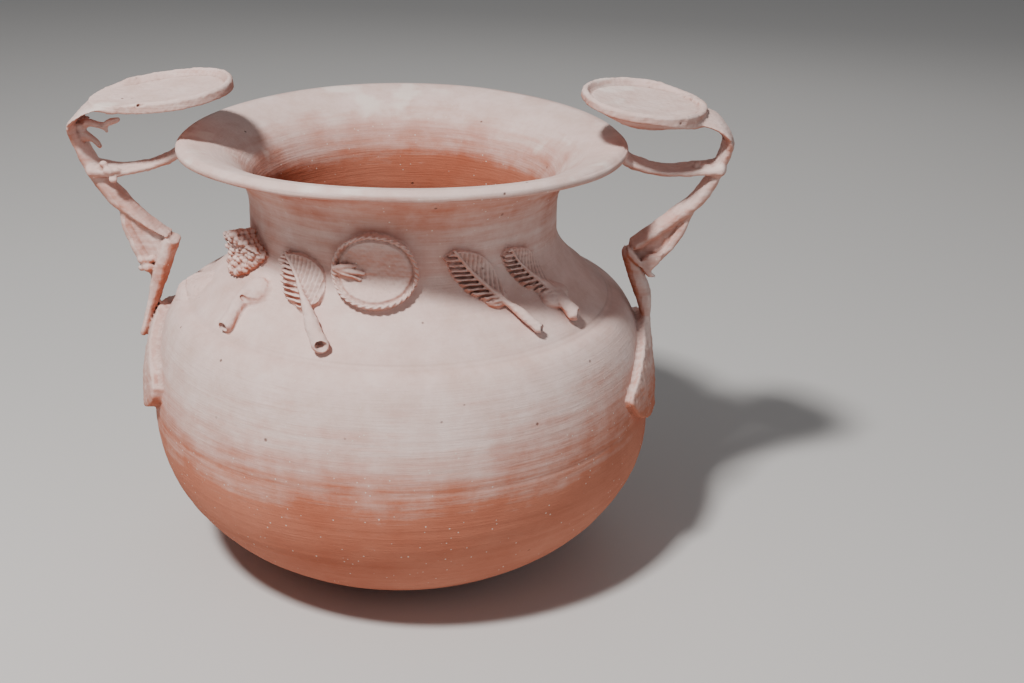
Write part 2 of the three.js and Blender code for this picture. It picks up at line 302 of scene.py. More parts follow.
def new_piece(name, points, faces):
    mesh = bpy.data.meshes.new(name)
    mesh.from_pydata(np.asarray(points).tolist(), [], faces if isinstance(faces, list) else faces.tolist())
    mesh.update()
    mesh.polygons.foreach_set("use_smooth", [True] * len(mesh.polygons))
    piece = bpy.data.objects.new(name, mesh)
    bpy.context.scene.collection.objects.link(piece)
    return piece


# Clay forms as distance fields on a grid: below zero is clay


def soften(a, b, blend):
    """Joins two fields with a soft fillet about as wide as blend."""
    share = np.clip(0.5 + 0.5 * (b - a) / blend, 0, 1)
    return b * (1 - share) + a * share - blend * share * (1 - share)


def cut(a, b, blend=0.8 * MM):
    """Keeps what is in both fields, with a slightly rounded edge."""
    return -soften(-a, -b, blend)


class Clay:
    """A block of grid points with the joined distance fields of the forms in it."""

    def __init__(self, low, high, step):
        self.step = step
        self.axes = [np.arange(a, b + step, step) for a, b in zip(low, high)]
        self.field = np.full([len(axis) for axis in self.axes], 0.05)

    def part(self, low, high):
        """Slices and open coordinate grids of the points in a smaller box."""
        slices = []
        for axis, a, b in zip(self.axes, low, high):
            slices.append(slice(int(np.searchsorted(axis, a)), int(np.searchsorted(axis, b))))
        grids = np.ix_(*[axis[piece] for axis, piece in zip(self.axes, slices)])
        return tuple(slices), grids

    def join(self, form, low, high, blend):
        """Adds a form, given as a function of x, y and z, inside a box."""
        slices, (x, y, z) = self.part(low, high)
        self.field[slices] = soften(self.field[slices], form(x, y, z), blend)

    def carve(self, form, low, high, blend=0.8 * MM):
        slices, (x, y, z) = self.part(low, high)
        self.field[slices] = cut(self.field[slices], -form(x, y, z), blend)

    def seal(self):
        """Keeps clay off the block's outermost points, so that the mesh closes."""
        for axis in range(3):
            for side in (0, -1):
                edge = [slice(None)] * 3
                edge[axis] = side
                self.field[tuple(edge)] = 0.05

    def settle(self):
        """Fills grid corners where clay would touch clay only across a diagonal."""
        for _ in range(5):
            clay = self.field < 0
            filled = 0
            for axis in range(3):
                u, v = (axis + 1) % 3, (axis + 2) % 3
                corner = []
                for a, b in ((0, 0), (1, 0), (0, 1), (1, 1)):
                    piece = [slice(None)] * 3
                    piece[u] = slice(a, a - 1 if a == 0 else None)
                    piece[v] = slice(b, b - 1 if b == 0 else None)
                    corner.append(tuple(piece))
                k, m, n, q = (clay[piece] for piece in corner)
                for touching, spot in ((k & q & ~m & ~n, corner[1]), (m & n & ~k & ~q, corner[0])):
                    self.field[spot][touching] = -0.1 * self.step
                    filled += int(touching.sum())
            if not filled:
                return

    def shell(self):
        """Closed mesh at the field's zero, of its largest connected sheet: points and faces."""
        self.settle()
        field = self.field
        clay = field < 0
        shape = np.array(field.shape) - 1
        counts = np.zeros(shape, int)
        for corner in np.ndindex(2, 2, 2):
            counts += clay[tuple(slice(c, c + n) for c, n in zip(corner, shape))]
        cells = np.argwhere((counts > 0) & (counts < 8))
        number = np.full(shape, -1)
        number[tuple(cells.T)] = np.arange(len(cells))
        total = np.zeros((len(cells), 3))
        hits = np.zeros(len(cells))
        for axis in range(3):
            others = [i for i in range(3) if i != axis]
            for side in np.ndindex(2, 2):
                start = np.zeros(3, int)
                start[others] = side
                end = start.copy()
                end[axis] = 1
                a = field[tuple((cells + start).T)]
                b = field[tuple((cells + end).T)]
                crossed = (a < 0) != (b < 0)
                share = np.where(crossed, a / np.where(a == b, 1, a - b), 0)
                spot = start + share[:, None] * (end - start)
                total[crossed] += spot[crossed]
                hits += crossed
        points = (cells + total / hits[:, None]) * self.step + [axis[0] for axis in self.axes]
        faces = []
        for axis in range(3):
            u, v = (axis + 1) % 3, (axis + 2) % 3
            low = [slice(None)] * 3
            high = [slice(None)] * 3
            low[axis], high[axis] = slice(0, -1), slice(1, None)
            for side in (u, v):
                low[side] = high[side] = slice(1, -1)
            a, b = clay[tuple(low)], clay[tuple(high)]
            for crossed, flip in ((a & ~b, False), (~a & b, True)):
                spots = np.argwhere(crossed)
                spots[:, u] += 1
                spots[:, v] += 1
                ring = []
                for du, dv in ((-1, -1), (0, -1), (0, 0), (-1, 0)):
                    spot = spots.copy()
                    spot[:, u] += du
                    spot[:, v] += dv
                    ring.append(number[tuple(spot.T)])
                ring = np.column_stack(ring)
                faces.append(ring[:, ::-1] if flip else ring)
        return largest_sheet(points, np.vstack(faces))


def largest_sheet(points, faces):
    label = np.arange(len(points))
    low = np.concatenate([faces[:, 0], faces[:, 1], faces[:, 2]])
    high = np.concatenate([faces[:, 1], faces[:, 2], faces[:, 3]])
    while True:
        least = np.minimum(label[low], label[high])
        new = label.copy()
        np.minimum.at(new, low, least)
        np.minimum.at(new, high, least)
        new = new[new]
        if np.array_equal(new, label):
            break
        label = new
    kept = label == np.bincount(label).argmax()
    number = np.cumsum(kept) - 1
    return points[kept], number[faces[kept[faces[:, 0]]]]


def nearest(line, x, z):
    """For open grids x and z, the distance to a plane line, its signed side and the share along it."""
    shape = np.broadcast(x, z).shape
    flat_x = np.broadcast_to(x, shape).ravel()
    flat_z = np.broadcast_to(z, shape).ravel()
    best = np.full(flat_x.shape, 1e9)
    share = np.zeros(flat_x.shape)
    side = np.zeros(flat_x.shape)
    for i in range(len(line) - 1):
        a, b = line[i], line[i + 1]
        along = b - a
        t = ((flat_x - a[0]) * along[0] + (flat_z - a[1]) * along[1]) / (along @ along)
        t = np.clip(t, 0, 1)
        dx = flat_x - a[0] - t * along[0]
        dz = flat_z - a[1] - t * along[1]
        distance = dx * dx + dz * dz
        closer = distance < best
        best[closer] = distance[closer]
        share[closer] = ((i + t) / (len(line) - 1))[closer]
        side[closer] = np.sign(along[0] * dz - along[1] * dx)[closer]
    return np.sqrt(best).reshape(shape), side.reshape(shape), share.reshape(shape)


def leaned(table, lift, z):
    """A table over X and Z read lower down by lift, which changes with Y and Z."""
    spot = np.clip(np.arange(z.size) - lift[0] / (z[0, 0, 1] - z[0, 0, 0]), 0, z.size - 1.001)
    low = spot.astype(int)
    return table[:, 0][:, low] * (1 - spot + low) + table[:, 0][:, low + 1] * (spot - low)


def ribbon(points, thickness, width, drift=None, power=2.6, lift=None):
    """Strap along a line drawn in X and Z. Thickness is in that plane and width across it, each
    a function of the share along the line. It is raised by lift, a function of Y and Z."""
    line = spline(points, 90)

    def form(x, y, z):
        distance, _, share = nearest(line, x, z)
        if lift is not None:
            distance, share = (leaned(table, lift(y, z), z) for table in (distance, share))
        middle = 0 if drift is None else drift(share)
        half, wide = thickness(share) / 2, width(share) / 2
        level = ((distance / half) ** power + (np.abs(y - middle) / wide) ** power) ** (1 / power)
        return (level - 1) * np.minimum(half, wide)

    return form


def rod(points, radii):
    """Round rod along a line in space whose radius runs through values in millimetres."""
    line = spline(points, 4 * len(points))
    radii = np.array(radii) * MM
    radius = np.interp(np.linspace(0, 1, len(line)), np.linspace(0, 1, len(radii)), radii)

    def form(x, y, z):
        best = None
        for a, b, ra, rb in zip(line, line[1:], radius, radius[1:]):
            along = b - a
            t = ((x - a[0]) * along[0] + (y - a[1]) * along[1] + (z - a[2]) * along[2]) / (along @ along)
            t = np.clip(t, 0, 1)
            dx, dy, dz = (place - a[i] - t * along[i] for i, place in enumerate((x, y, z)))
            gap = np.sqrt(dx**2 + dy**2 + dz**2) - (ra + (rb - ra) * t)
            best = gap if best is None else np.minimum(best, gap)
        return best

    return form


def ball(centre, radii):
    """Ellipsoid with half sizes along X, Y and Z."""
    radii = np.array(radii) * np.ones(3)

    def form(x, y, z):
        dx, dy, dz = ((place - centre[i]) / radii[i] for i, place in enumerate((x, y, z)))
        return (np.sqrt(dx**2 + dy**2 + dz**2) - 1) * radii.min()

    return form


class WallField:
    """Distance out of the wall's outside and length along it, looked up for any point in space."""

    step = 1 * MM

    def __init__(self, side):
        self.side = side
        self.across = np.arange(0.120, 0.345, self.step)
        self.height = np.arange(0.140, 0.520, self.step)
        middle = np.column_stack(wall_place(LENGTHS, -WALL / 2))[::8]
        distance, side, share = nearest(middle, self.across[:, None], self.height[None, :])
        self.proud = -side * distance - WALL / 2
        self.length = share * WALL_LENGTH

    def look(self, table, x, y, z):
        angle = np.arctan2(self.side * x, -self.side * y)
        height = z + droop(angle, z)
        away = np.hypot(x, y) + squeeze(angle, height)
        i = np.clip((away - self.across[0]) / self.step, 0, len(self.across) - 1.001)
        j = np.clip((height - self.height[0]) / self.step, 0, len(self.height) - 1.001)
        i, j = np.broadcast_arrays(i, j)
        a, b = i.astype(int), j.astype(int)
        u, v = i - a, j - b
        low = table[a, b] * (1 - v) + table[a, b + 1] * v
        high = table[a + 1, b] * (1 - v) + table[a + 1, b + 1] * v
        return low * (1 - u) + high * u


# Handles


def saucer_form(handle):
    """Dish with a thin raised rim and a conical underside, tilted as it was pressed on. It runs
    out further towards the strap, where the rim is lost in lumps."""
    radius = handle["saucer_radius"]
    centre = [c * MM for c in handle["saucer_centre"]]
    tilt = Matrix.Rotation(math.radians(handle["saucer_tilt"]), 3, "Y")
    lean = Matrix.Rotation(math.radians(handle["saucer_lean"]), 3, "X")
    turn = np.array((tilt @ lean).transposed())

    def form(x, y, z):
        dx, dy, dz = x - centre[0], y - centre[1], z - centre[2]
        u = turn[0][0] * dx + turn[0][1] * dy + turn[0][2] * dz
        v = turn[1][0] * dx + turn[1][1] * dy + turn[1][2] * dz
        w = turn[2][0] * dx + turn[2][1] * dy + turn[2][2] * dz
        pulled = np.where(u > 0, u / handle["saucer_stretch"], u)
        away = np.hypot(pulled, v)
        around = np.arctan2(v, pulled)
        edge = radius - 1.4 * MM + 0.8 * MM * np.sin(2 * around + 1) + 0.5 * MM * np.sin(5 * around)
        share = away / edge
        worn = 1 - handle["saucer_worn"] * smooth(0.45, 0.85, np.cos(around - 0.25))
        lip = SAUCER_LIP * worn * (smooth(0.86, 0.92, share) - 0.4 * smooth(0.95, 1.0, share))
        foot_line = 1.2 * MM * worn * np.exp(-(((share - 0.845) / 0.02) ** 2))
        floor = -6.2 * MM + 3.2 * MM * share**2 + 1.6 * MM * (1 - worn) * share**4 + lip - foot_line
        rim_depth = handle["saucer_edge"] + handle["saucer_slab"] * smooth(0.1, 0.95, u / radius)
        cone = np.clip((0.97 - share) / 0.6, 0, 1)
        under = -rim_depth - (handle["saucer_depth"] - handle["saucer_edge"]) * cone
        solid = cut(w - floor, under - w, 1.2 * MM)
        return cut(solid, away - edge, 1.6 * MM)

    return form


def plate_form(wall, angle, proud_by):
    """Fan-shaped plate pressed on the belly, with a firm uneven edge."""
    start = length_at(PLATE_HEIGHT)
    reference = wall_place(start, 0)[0]

    def form(x, y, z):
        proud = wall.look(wall.proud, x, y, z)
        up = wall.look(wall.length, x, y, z) - start
        turned = np.arctan2(x, -y) - angle
        across = reference * ((turned + math.pi) % (2 * math.pi) - math.pi)
        rise = np.clip(up / PLATE_HALF_HEIGHT, 0, 1)
        wave = 1 + 0.012 * np.sin(9 * up / PLATE_HALF_HEIGHT + 40 * across)
        half = PLATE_HALF_WIDTH * (1 - 0.52 * rise**1.3) * wave
        level = np.sqrt((across / half) ** 2 + (up / PLATE_HALF_HEIGHT) ** 2)
        outline = (level - 1) * PLATE_HALF_HEIGHT * 0.8
        crown = proud_by * (1 - 0.15 * level**2)
        slab = cut(proud - crown, outline, 2 * MM)
        return cut(slab, -8 * MM - proud, 1 * MM)

    return form


def panel(corners, thickness, middle=0.0):
    """Flat piece of clay with the given corners in X and Z."""
    line = np.array(corners + corners[:1], float) * MM

    def form(x, y, z):
        distance, _, _ = nearest(line, x, z)
        inside = np.zeros(distance.shape, bool)
        for a, b in zip(line, line[1:]):
            spans = (a[1] > z) != (b[1] > z)
            reach = a[0] + (z - a[1]) * (b[0] - a[0]) / (b[1] - a[1] if b[1] != a[1] else 1)
            inside ^= spans & (x < reach)
        return cut(np.where(inside, -distance, distance), np.abs(y - middle) - thickness / 2, 2 * MM)

    return form


def strap_form(handle):
    """Strap from the kink out to the bend and in to the saucer."""

    sizes = handle["strap_thickness"]
    stations = np.linspace(0, 1, len(sizes))

    def thickness(s):
        return np.interp(s, stations, sizes) * MM * (1 + 0.03 * np.sin(31 * s) + 0.03 * np.sin(47 * s))

    def width(s):
        wide = STRAP_WIDTH + (handle["tongue_width"] - STRAP_WIDTH) * smooth(0.60, 0.80, s)
        return wide * (1 + 0.02 * np.sin(23 * s + 1))

    drift = handle["drift"] * MM
    lean = math.tan(math.radians(handle["saucer_lean"]))

    def lift(y, z):
        return lean * y * smooth(0.447, 0.475, z)

    points = np.array(handle["strap"]) * MM
    return ribbon(points, thickness, width, drift=lambda s: drift * np.sin(7 * s), power=2.1, lift=lift)


def make_handle(name, handle):
    """Plate, leg, strap up to the bend, second strand, web and bridge, bedded in the wall."""
    wall = WallField(handle["side"])
    clay = Clay((0.150, -0.128, 0.158), (0.345, 0.128, 0.470), CLAY_STEP)
    plate_box = ((0.150, -0.128, 0.158), (0.300, 0.128, 0.285))
    clay.join(plate_form(wall, math.pi / 2, handle["plate_proud"]), *plate_box, 1 * MM)

    # Leg, widening into the plate, with a squared top behind the strap's end
    leg_line = np.array(handle["leg"]) * MM
    leg = ribbon(
        leg_line,
        lambda s: (9 + (handle["leg_thickness"] - 9) * smooth(0.15, 0.6, s)) * MM,
        lambda s: 31 * MM + 16 * MM * (1 - smooth(0.0, 0.3, s)),
        power=3.0,
    )
    top, facing = leg_line[-1], handle["leg_top"]

    def squared_leg(x, y, z):
        past = (x - top[0]) * facing[0] + (z - top[1]) * facing[1]
        return cut(leg(x, y, z), past, 1.5 * MM)

    clay.join(squared_leg, (0.2, -0.05, 0.2), (0.3, 0.05, 0.36), 4 * MM)

    strap = strap_form(handle)

    def lower_strap(x, y, z):
        shrink = 0.15 * MM * smooth(STRAP_SPLIT - 1.5 * MM, STRAP_SPLIT, z)
        return np.maximum(strap(x, y, z) + shrink, z - STRAP_SPLIT - 3 * MM)

    clay.join(lower_strap, (0.2, -0.03, 0.31), (0.345, 0.03, 0.470), 1.2 * MM)

    # Web and second strand in the kink's corner
    clay.join(panel(handle["web"], WEB_THICKNESS), (0.2, -0.02, 0.26), (0.32, 0.02, 0.40), 4 * MM)
    for points, radii in handle["rods"]:
        line = np.array(points) * MM
        low = line.min(axis=0) - 14 * MM
        high = line.max(axis=0) + 14 * MM
        clay.join(rod(line, radii), low, high, 2 * MM)
    for corners, thickness, middle in handle["flaps"]:
        flap = panel(corners, thickness * MM, middle * MM)
        clay.join(flap, (0.2, -0.04, 0.28), (0.32, 0.04, 0.36), 0.8 * MM)
    for points, radii in handle["creases"]:
        line = np.array(points) * MM
        clay.carve(rod(line, radii), line.min(axis=0) - 6 * MM, line.max(axis=0) + 6 * MM)

    # Bridge from the rim's edge to the strap, and the lumps of clay at its root
    bridge = ribbon(
        np.array(handle["bridge"]) * MM,
        lambda s: BRIDGE_THICKNESS * (0.8 + 0.35 * (2 * s - 1) ** 2),
        lambda s: BRIDGE_WIDTH * (0.78 + 0.22 * np.abs(2 * s - 1)),
    )
    clay.join(bridge, (0.19, -0.05, 0.39), (0.335, 0.05, 0.46), 3 * MM)
    for x, y, z, r in handle["lumps"]:
        place = (x * MM, y * MM, z * MM)
        box = ([c - (r + 8) * MM for c in place], [c + (r + 8) * MM for c in place])
        clay.join(ball(place, [r * MM, 0.9 * r * MM, 0.8 * r * MM]), *box, 1.5 * MM)

    # Fillet into the wall, which sinks under its surface a little way off
    _, (x, y, z) = clay.part((0.140, -0.13, 0.15), (0.35, 0.13, 0.52))
    form = clay.field.copy()
    middle = wall.look(wall.proud, x, y, z) + WALL / 2
    sinking = np.abs(middle) - WALL / 2 + 1.6 * MM + 3 * MM * smooth(3 * MM, 9 * MM, form)
    bedded = soften(form, sinking, 3 * MM)
    bedded = np.maximum(bedded, form - 11 * MM)
    trim = np.where(np.abs(middle) < 22 * MM, -middle - 1 * MM, -1)
    clay.field = np.maximum(bedded, trim)
    clay.seal()
    return clay_piece(name, clay, handle, 0.28, 0.14)


def make_saucer(name, handle):
    """The strap's upper end, spread into a saucer."""
    clay = Clay((0.150, -0.085, 0.445), (0.345, 0.085, 0.512), SAUCER_STEP)
    strap = strap_form(handle)
    box = ((0.14, -0.09, 0.44), (0.35, 0.09, 0.52))
    clay.join(lambda x, y, z: np.maximum(strap(x, y, z), STRAP_SPLIT - z), *box, 1 * MM)
    clay.join(saucer_form(handle), *box, 4 * MM)
    for x, y, z, r in handle["saucer_lumps"]:
        clay.join(ball((x * MM, y * MM, z * MM), [r * MM, r * MM, 0.7 * r * MM]), *box, 1.5 * MM)
    for points, radii in handle["saucer_chips"]:
        clay.carve(rod(np.array(points) * MM, radii), *box, 1 * MM)
    clay.seal()
    return clay_piece(name, clay, handle, 0.14, 0.10)


def clay_piece(name, clay, handle, coarse, fine):
    points, faces = clay.shell()
    piece = new_piece(name, points, faces)
    texture(piece, coarse, fine, handle["seed"])
    if handle["side"] < 0:
        piece.data.transform(Matrix.Rotation(math.pi, 4, "Z"))
    return piece


def texture(piece, coarse, fine, seed):
    """Moves the surface in and out as hand-pressed clay does, by sizes in millimetres."""
    mesh = piece.data
    count = len(mesh.vertices)
    points = np.empty(count * 3)
    normals = np.empty(count * 3)
    mesh.vertices.foreach_get("co", points)
    mesh.vertex_normals.foreach_get("vector", normals)
    points, normals = points.reshape(-1, 3), normals.reshape(-1, 3)
    push = coarse * lumps(points, 16 * MM, seed) + fine * lumps(points, 5 * MM, seed + 1)
    push = (push - coarse - fine) * MM
    mesh.vertices.foreach_set("co", (points + normals * push[:, None]).ravel())
    mesh.update()


# Lines are drawn outwards from the axis and upwards, in millimetres. The left handle is the same
# way round and is turned half round at the end, so its Y points away from the front.
LEFT = {
    "side": -1,
    "seed": 40,
    "plate_proud": 11 * MM,
    "leg": [(273, 236), (266, 262), (257, 290), (249, 313), (240, 336)],
    "leg_top": (-0.45, 0.89),
    "leg_thickness": 16,
    "strap": [
        (243, 339), (256, 346), (273, 358), (290, 373), (304, 391), (316, 411), (326, 433),
        (330, 447), (327, 460), (315, 472), (298, 479), (280, 480),
    ],
    "strap_thickness": [2, 7, 13.5, 19, 20, 17.5, 13.5, 8, 6, 6, 6],
    "tongue_width": 80 * MM,
    "drift": -1.5,
    "web": [(245, 339), (270, 355), (288, 372), (285, 350), (277, 328), (262, 299), (250, 310)],
    "rods": [
        ([(288, 3, 368), (286, 3, 348), (279, 4, 329), (270, 5, 312), (260, 3, 296)], [5, 5.5, 5, 6, 5]),
        ([(328, 4, 449), (314, 8, 456), (299, 12, 454)], [6, 4.5, 3.6]),
        ([(299, 12, 454), (291, 14, 459), (282, 15, 462)], [3.6, 3.6, 2.6]),
        ([(299, 12, 454), (295, 13, 449)], [3.4, 2.4]),
        ([(321, 6, 443), (310, 10, 439), (304, 12, 434)], [6.5, 4.2, 2.8]),
    ],
    "flaps": [],
    "creases": [],
    "bridge": [(216, 439), (228, 427), (248, 416), (284, 407), (313, 408)],
    "lumps": [
        (301, 16, 416, 5), (295, 19, 410, 6), (287, 18, 411, 4), (291, 20, 401, 4.5), (307, 16, 428, 3),
        (271, 8, 313, 6), (266, 9, 305, 6.5), (262, 8, 314, 5), (273, 6, 303, 4.5), (259, 6, 301, 4),
    ],
    "saucer_centre": (228, 0, 493.5),
    "saucer_radius": 59 * MM,
    "saucer_stretch": 1.47,
    "saucer_tilt": 7,
    "saucer_lean": -5,
    "saucer_worn": 1.0,
    "saucer_edge": 9.5 * MM,
    "saucer_slab": 0 * MM,
    "saucer_depth": 13 * MM,
    "saucer_lumps": [
        (262, -38, 486, 4), (269, -34, 485, 4.5), (276, -29, 484, 4), (283, -26, 482, 3.5),
        (256, -42, 487, 3),
    ],
    "saucer_chips": [
        ([(235, 68, 504), (238, 59, 497), (245, 55, 489), (253, 52, 484)], [4.5, 3, 2, 1.2]),
    ],
}
RIGHT = {
    "side": 1,
    "seed": 50,
    "plate_proud": 9 * MM,
    "leg": [(257, 236), (254, 260), (250, 283), (245, 298), (239, 313), (234, 330)],
    "leg_top": (0.75, 0.66),
    "leg_thickness": 18,
    "strap": [
        (238, 341), (249, 349), (262, 359), (281, 374), (299, 390), (311, 409), (320, 430),
        (325, 446), (324, 458), (315, 469), (300, 475), (282, 477),
    ],
    "strap_thickness": [12, 14, 15.5, 16, 16, 15.5, 14, 11, 9.5, 9, 9],
    "tongue_width": 62 * MM,
    "drift": 1.5,
    "web": [(232, 338), (262, 357), (288, 376), (279, 352), (268, 334), (252, 322), (241, 322)],
    "rods": [([(291, -3, 376), (282, -4, 354), (272, -6, 338), (262, -9, 329)], [5, 5.5, 5, 4.5])],
    "flaps": [
        (
            [(243, 325), (249, 332), (267, 336), (263, 324), (255, 315), (261, 309), (252, 309), (244, 319)],
            8,
            -12,
        ),
        ([(229, 341), (234, 339), (244, 327), (246, 319), (239, 322), (229, 334)], 16, -10),
    ],
    "creases": [([(226, -19, 335), (235, -19, 325), (244, -17, 315), (252, -15, 306)], [1.5, 1.8, 1.8, 1.5])],
    "bridge": [(216, 439), (230, 428), (262, 420), (294, 422), (318, 424)],
    "lumps": [(304, -12, 425, 7), (296, -10, 428, 5)],
    "saucer_centre": (240, 0, 493),
    "saucer_radius": 64 * MM,
    "saucer_stretch": 1.0,
    "saucer_tilt": 6,
    "saucer_lean": 5,
    "saucer_worn": 0.5,
    "saucer_edge": 8 * MM,
    "saucer_slab": 6 * MM,
    "saucer_depth": 26 * MM,
    "saucer_lumps": [(287, 28, 488, 4), (293, 20, 487, 4), (297, 10, 487, 3.5), (281, 36, 488, 3)],
    "saucer_chips": [([(254, 66, 510), (254, 60, 494)], [3.4, 2.6])],
}


# Ornaments, drawn flat on the wall: X across, Y up along the wall, Z out of it


class Ornament:
    """A piece of relief in the wall's own coordinates, laid round the pot at the end."""

    def __init__(self, name, angle, height, low, high, proud=22):
        self.name = name
        self.angle = math.radians(angle)
        self.start = length_at(height * MM)
        self.low = [v * MM for v in low] + [-6 * MM]
        self.high = [v * MM for v in high] + [proud * MM]
        self.clay = Clay(self.low, self.high, RELIEF_STEP)

    def add(self, form, blend=1.5, low=None, high=None):
        self.clay.join(form, low or self.low, high or self.high, blend * MM)

    def carve(self, form, blend=0.8):
        self.clay.carve(form, self.low, self.high, blend * MM)

    def finish(self, seed, coarse=0.3, fine=0.15, fillet=2.6):
        clay = self.clay
        _, (x, y, z) = clay.part(self.low, [v + clay.step for v in self.high])
        z = clay.axes[2][None, None, :]
        form = clay.field.copy()
        sinking = z + 1.7 * MM + 2.5 * MM * smooth(1.5 * MM, 7 * MM, form)
        bedded = soften(form, sinking, fillet * MM)
        bedded = np.maximum(bedded, form - 9 * MM)
        clay.field = np.maximum(bedded, -z - 4 * MM)
        clay.seal()
        points, faces = clay.shell()
        reference = wall_place(self.start, 0)[0]
        angle = self.angle + points[:, 0] / reference
        placed = round_pot(angle, *wall_place(self.start + points[:, 1], points[:, 2]))
        piece = new_piece(self.name, placed, faces)
        texture(piece, coarse, fine, seed)
        return piece


def turned(points, degrees):
    """Turns flat points, given in millimetres with a height out of the wall, about their origin."""
    c, s = math.cos(math.radians(degrees)), math.sin(math.radians(degrees))
    return [(MM * (c * x - s * y), MM * (s * x + c * y), MM * z) for x, y, z in points]


def make_medallion():
    medal = Ornament("medallion", -5.2, 359, (-50, -50), (50, 50))
    radius = 37.5 * MM

    def disc(x, y, z):
        away = np.hypot(x, y) + 0 * z
        dome = 9 * MM - 3.5 * MM * np.exp(-((away / (19 * MM)) ** 2))
        dome = dome - 2.4 * MM * np.exp(-(((away - radius + 3.4 * MM) / (1.7 * MM)) ** 2))
        return cut(z - dome, away - radius, 2 * MM)

    def rope(x, y, z):
        away = np.hypot(x, y)
        around = np.arctan2(y, x)
        best = None
        for strand in (0, math.pi):
            phase = 19 * around + strand
            u = away - radius - 0.2 * MM - 1.05 * MM * np.cos(phase)
            w = z - 8.2 * MM - 1.05 * MM * np.sin(phase)
            gap = 0.86 * (np.sqrt(u * u + w * w) - 1.5 * MM)
            best = gap if best is None else np.minimum(best, gap)
        return best

    medal.add(disc)
    medal.add(rope, 0.5)
    # Small folded leaf at the left, with three ribs running in from the rope
    medal.add(ball((-25 * MM, -1 * MM, 7 * MM), [13 * MM, 8 * MM, 5 * MM]), 2)
    for tip in ((-18, 7, 8.5), (-10, 0, 8.5), (-13, -8, 8)):
        middle = ((-36 + tip[0]) / 2, (2 + tip[1]) / 2 + 2, 12.5)
        medal.add(rod(np.array([(-36, 3, 10), middle, tip]) * MM, [2.6, 3.0, 2.2]), 0.6)
    return medal.finish(60, 0.12, 0.12)


def make_frond(name, angle, height, turn, length, half_widths, stem, seed, lobes=(), notch=None):
    """Palm frond. A comb of slanted bars on its left, softer ribs on its broad right, a thin
    midrib and below the leaf a thick hollow stem. Its origin is the leaf's lower end."""
    frond = Ornament(name, angle, height, (-72, -62), (62, 76))
    c, s = math.cos(math.radians(turn)), math.sin(math.radians(turn))
    left, right = half_widths[0] * MM, half_widths[1] * MM
    length = length * MM

    def blade(x, y, z):
        u = c * x + s * y
        v = c * y - s * x
        share = v / length
        left_half = left * (0.42 + 0.58 * smooth(-0.08, 0.42, share) - 0.25 * smooth(0.65, 1.05, share))
        comb = np.maximum(-u - left_half, np.maximum(-v - 3 * MM, v - length - 3 * MM))
        right_half = right * np.sin(math.pi * np.clip(0.14 + 0.86 * share, 0, 1)) ** 0.7
        soft = np.maximum(u - right_half, np.maximum(-v - 4 * MM, v - length))
        outline = np.where(u < 0, comb, soft)
        rising = v - 0.9 * np.abs(u)
        wave = np.cos(2 * math.pi * rising / (7.0 * MM))
        between = smooth(0.0, 0.75, -wave) * smooth(0.5 * MM, 2.0 * MM, -u)
        bars = -(3.2 * MM + 3.4 * MM * smooth(0.25 * left_half, 0.9 * left_half, -u)) * between
        ribs = 0.9 * MM * wave * smooth(1 * MM, 4 * MM, u) * (1 - 0.6 * smooth(0.5 * right, right, u))
        top = 4.8 * MM + 1.6 * MM * smooth(0, 3 * MM, -u) + bars + ribs
        top = top - 1.8 * MM * smooth(0.3 * right, right, u)
        return cut(z - top, outline, 0.9 * MM)

    frond.add(blade, 1.0)
    for place, radii in lobes:
        frond.add(ball(turned([place], turn)[0], np.array(radii) * MM), 6)
    bend, reach, radius = stem
    spine = turned([(0, length / MM + 2, 5), (0, 0.5 * length / MM, 6), (0, 2, 6.5)], turn)
    frond.add(rod(spine, [1.6, 2.1, 3.2]), 0.8)
    stalk = turned([(0, 6, 6), (0.3 * bend, -0.35 * reach, 6.5), (bend, -reach, 7)], turn)
    frond.add(rod(stalk, np.array([0.55, 0.95, 1.08]) * radius), 1.2)
    end = turned([(0.95 * bend, 3 - reach, 7), (1.05 * bend, -reach - 7, 7 + 0.8 * radius)], turn)
    frond.carve(rod(end, np.array([0.4, 0.85]) * radius), 1)
    if notch:
        frond.carve(rod(turned(notch, turn), [2.4, 3.6]), 1)
    return frond.finish(seed, 0.2, 0.12)


